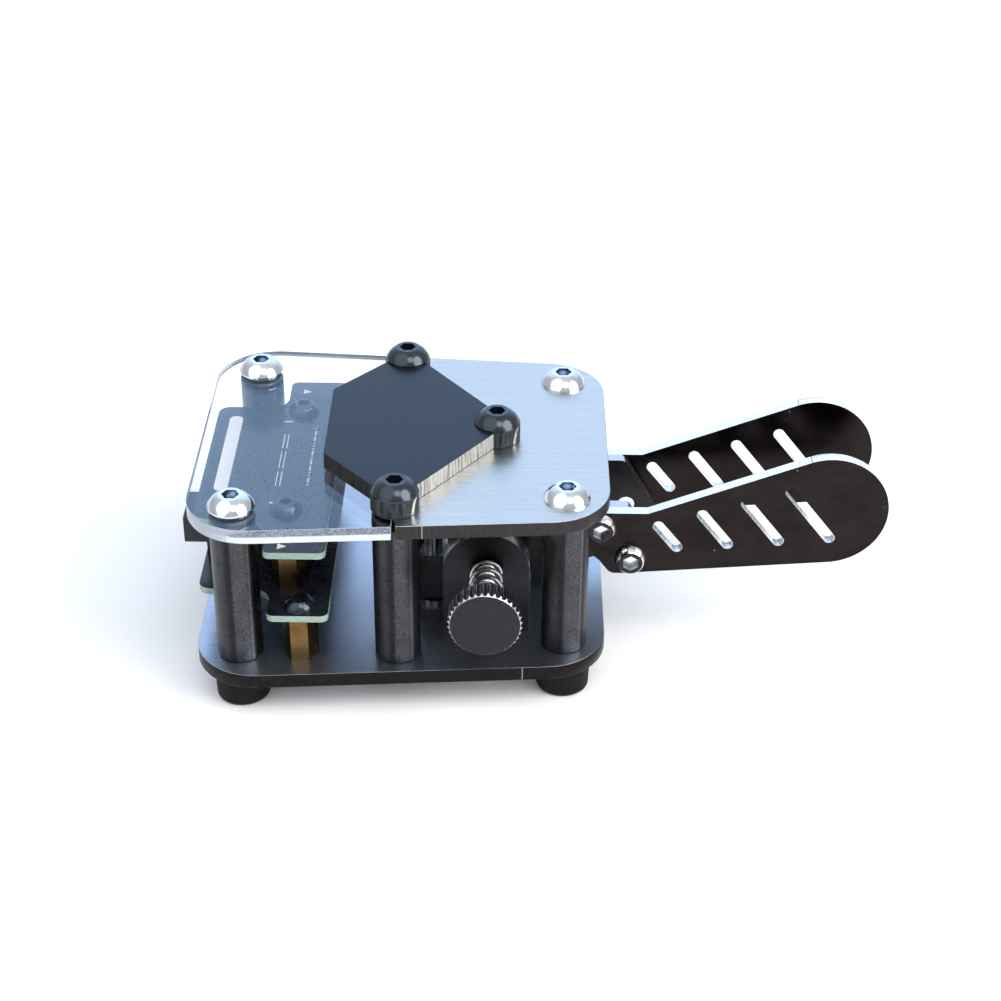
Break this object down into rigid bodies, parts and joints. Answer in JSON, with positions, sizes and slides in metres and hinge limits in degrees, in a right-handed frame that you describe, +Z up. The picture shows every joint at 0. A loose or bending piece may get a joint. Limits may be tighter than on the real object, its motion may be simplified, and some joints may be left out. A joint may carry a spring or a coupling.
{
  "type": "dual-lever morse key",
  "caption": "Twin-lever morse key: steel plates on posts, clear top section over a board stack, black cover, knurled stop screws and two slotted finger blades.",
  "frame": {"origin": "on the table, under the middle of the key's outer box", "axes": "+X from the frame towards the finger blades, +Y across the key to the rear lever, +Z up"},
  "size_m": [0.1156, 0.0638, 0.0416],
  "materials": {
    "steel_plate": "brushed along the length",
    "acrylic": "clear polished sheet with sawn edges",
    "black_plate": "satin black face, machined edge",
    "blasted_steel": "bead-blasted satin",
    "bright_screw": "polished",
    "black_screw": "black oxide, oiled",
    "blade_steel": "dark mirror faces, bright cut edges",
    "lever_steel": "satin",
    "bracket_steel": "dark satin",
    "knob_steel": "turned and knurled",
    "spring_steel": "bright spring wire",
    "bearing_steel": "ground",
    "rubber": "moulded matt",
    "brass": "turned",
    "silver_contact": "silver, dull",
    "board": "black solder mask over glass fibre",
    "black_plastic": "moulded",
    "plated_pin": "gold flash",
    "resistor_body": "glazed chip"
  },
  "bodies": {
    "frame": {"base_plate": "steel_plate", "rubber_feet": "rubber", "foot_screws": "bright_screw", "corner_posts": "blasted_steel", "mid_posts": "blasted_steel", "mid_post_screws": "black_screw", "steel_top_plate": "steel_plate", "acrylic_top_plate": "acrylic", "top_screws": "bright_screw", "cover_plate": "black_plate", "cover_screws": "black_screw", "pivot_bearings": "bearing_steel", "thrust_washers": "bearing_steel", "bracket_front": "bracket_steel", "bracket_rear": "bracket_steel", "bracket_screws": "black_screw", "contact_block": "black_plastic", "contact_block_screw": "black_screw", "contact_tip_front": "brass", "contact_tip_rear": "brass", "return_spring": "spring_steel", "jam_spring_front": "spring_steel", "jam_spring_rear": "spring_steel", "lower_board": "board", "upper_board": "board", "lower_standoffs": "brass", "upper_standoffs": "brass", "standoff_base_screws": "black_screw", "lower_board_screws": "black_screw", "upper_board_screws": "black_screw", "standoff_under_screws": "black_screw", "jack_socket": "black_plastic", "jack_contacts": "plated_pin", "header_socket_body": "black_plastic", "header_pin_row": "plated_pin", "board_resistors": "resistor_body"},
    "lever_front": {"arm_front": "lever_steel", "blade_front": "blade_steel", "blade_screws_front": "bright_screw", "pivot_pin_front": "bearing_steel", "rivet_front": "silver_contact"},
    "lever_rear": {"arm_rear": "lever_steel", "blade_rear": "blade_steel", "blade_screws_rear": "bright_screw", "pivot_pin_rear": "bearing_steel", "rivet_rear": "silver_contact"},
    "feed_front": {"collar_front": "spring_steel"},
    "feed_rear": {"collar_rear": "spring_steel"},
    "thumbscrew_front": {"knob_front": "knob_steel", "rod_front": "lever_steel"},
    "thumbscrew_rear": {"knob_rear": "knob_steel", "rod_rear": "lever_steel"}
  },
  "joints": [
    {"name": "front_paddle", "type": "hinge", "parent": "frame", "child": "lever_front", "pos_m": [-0.01713, -0.0062, 0.02], "axis": [0, 0, 1], "range_deg": [0, 0.85], "stiffness_Nm_per_rad": 0.5, "springref_deg": -1.72},
    {"name": "front_screw_feed", "type": "slide", "parent": "frame", "child": "feed_front", "axis": [0, 1, 0], "range_m": [-0.0007, 0]},
    {"name": "front_knob_turn", "type": "hinge", "parent": "feed_front", "child": "thumbscrew_front", "pos_m": [-0.00817, -0.025, 0.0206], "axis": [0, 1, 0], "range_deg": [-360, 0]},
    {"name": "rear_paddle", "type": "hinge", "parent": "frame", "child": "lever_rear", "pos_m": [-0.01713, 0.0062, 0.02], "axis": [0, 0, -1], "range_deg": [0, 0.85], "stiffness_Nm_per_rad": 0.5, "springref_deg": -1.72},
    {"name": "rear_screw_feed", "type": "slide", "parent": "frame", "child": "feed_rear", "axis": [0, -1, 0], "range_m": [-0.0007, 0]},
    {"name": "rear_knob_turn", "type": "hinge", "parent": "feed_rear", "child": "thumbscrew_rear", "pos_m": [-0.00817, 0.025, 0.0206], "axis": [0, -1, 0], "range_deg": [-360, 0]}
  ],
  "couplings": [
    {"joint": "front_knob_turn", "follows": "front_screw_feed", "rad_per_m": 8975},
    {"joint": "rear_knob_turn", "follows": "rear_screw_feed", "rad_per_m": 8975}
  ]
}
